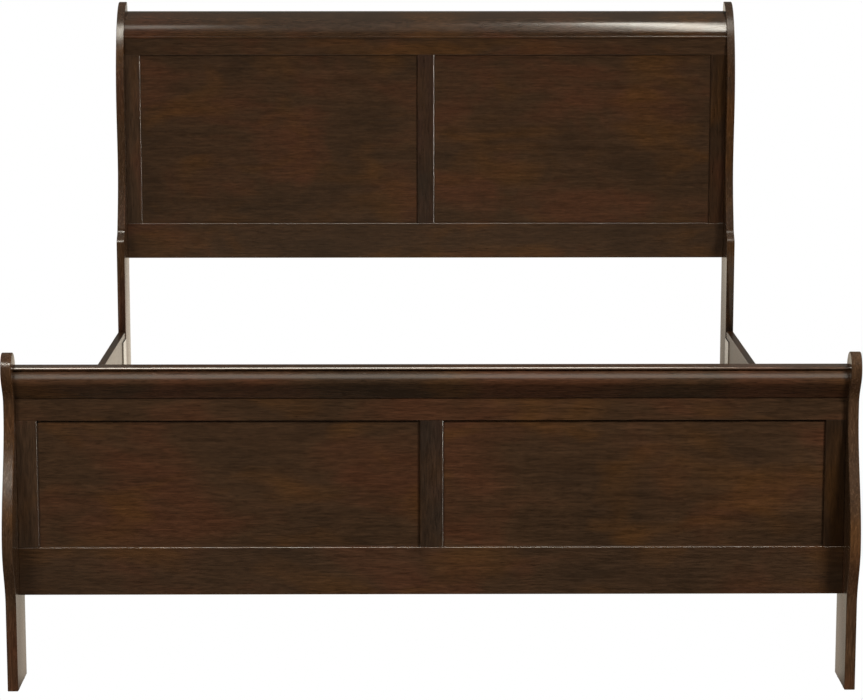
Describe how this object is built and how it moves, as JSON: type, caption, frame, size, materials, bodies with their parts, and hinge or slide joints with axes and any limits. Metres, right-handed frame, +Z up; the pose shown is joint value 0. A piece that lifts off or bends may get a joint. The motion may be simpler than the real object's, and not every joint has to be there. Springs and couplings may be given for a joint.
{
  "type": "sleigh bed",
  "caption": "Panelled sleigh bed with S-shaped posts, rolled crests, hooked side rails, slats and screw levellers under the centre legs.",
  "frame": {"origin": "on the floor at the centre of the bed's footprint", "axes": "+Y from the footboard to the headboard, +Z up, +X to the right seen from the foot of the bed"},
  "size_m": [1.6, 2.311, 1.194],
  "materials": {
    "stained_frame": "dark brown stain under satin lacquer",
    "stained_panel": "dark brown stained veneer under satin lacquer",
    "raw_pine": "planed, unfinished",
    "raw_beech": "planed, unfinished",
    "zinc_steel": "bright zinc plated",
    "black_plastic": "moulded, fine matte"
  },
  "bodies": {
    "bed_frame": {"footboard_post_left": "stained_frame", "footboard_post_right": "stained_frame", "footboard_crest": "stained_frame", "footboard_top_rail": "stained_frame", "footboard_bottom_rail": "stained_frame", "footboard_stile_left": "stained_frame", "footboard_stile_center": "stained_frame", "footboard_stile_right": "stained_frame", "footboard_panel_left": "stained_panel", "footboard_panel_right": "stained_panel", "footboard_corner_blocks": "raw_beech", "footboard_dowels": "raw_beech", "footboard_glides": "black_plastic", "headboard_post_left": "stained_frame", "headboard_post_right": "stained_frame", "headboard_crest": "stained_frame", "headboard_top_rail": "stained_frame", "headboard_bottom_rail": "stained_frame", "headboard_stile_left": "stained_frame", "headboard_stile_center": "stained_frame", "headboard_stile_right": "stained_frame", "headboard_panel_left": "stained_panel", "headboard_panel_right": "stained_panel", "headboard_corner_blocks": "raw_beech", "headboard_dowels": "raw_beech", "headboard_glides": "black_plastic", "side_rail_left": "stained_frame", "ledger_left": "raw_pine", "side_rail_right": "stained_frame", "ledger_right": "raw_pine", "hook_bracket_foot_left": "zinc_steel", "slot_plate_foot_left": "zinc_steel", "hook_bracket_foot_right": "zinc_steel", "slot_plate_foot_right": "zinc_steel", "hook_bracket_head_left": "zinc_steel", "slot_plate_head_left": "zinc_steel", "hook_bracket_head_right": "zinc_steel", "slot_plate_head_right": "zinc_steel", "bracket_screws": "zinc_steel", "plate_screws": "zinc_steel", "ledger_screws": "zinc_steel", "slat_screws": "zinc_steel", "center_leg_bolts": "zinc_steel", "leveller_nuts": "zinc_steel", "slat_1": "raw_pine", "slat_2": "raw_pine", "slat_3": "raw_pine", "slat_4": "raw_pine", "center_leg_1": "raw_pine", "center_leg_2": "raw_pine", "center_leg_3": "raw_pine"},
    "leveller_1": {"leveller_1": "black_plastic"},
    "leveller_2": {"leveller_2": "black_plastic"},
    "leveller_3": {"leveller_3": "black_plastic"}
  },
  "joints": [
    {"name": "leveller_1_screw", "type": "slide", "parent": "bed_frame", "child": "leveller_1", "axis": [0, 0, -1], "range_m": [0, 0.02]},
    {"name": "leveller_2_screw", "type": "slide", "parent": "bed_frame", "child": "leveller_2", "axis": [0, 0, -1], "range_m": [0, 0.02]},
    {"name": "leveller_3_screw", "type": "slide", "parent": "bed_frame", "child": "leveller_3", "axis": [0, 0, -1], "range_m": [0, 0.02]}
  ]
}
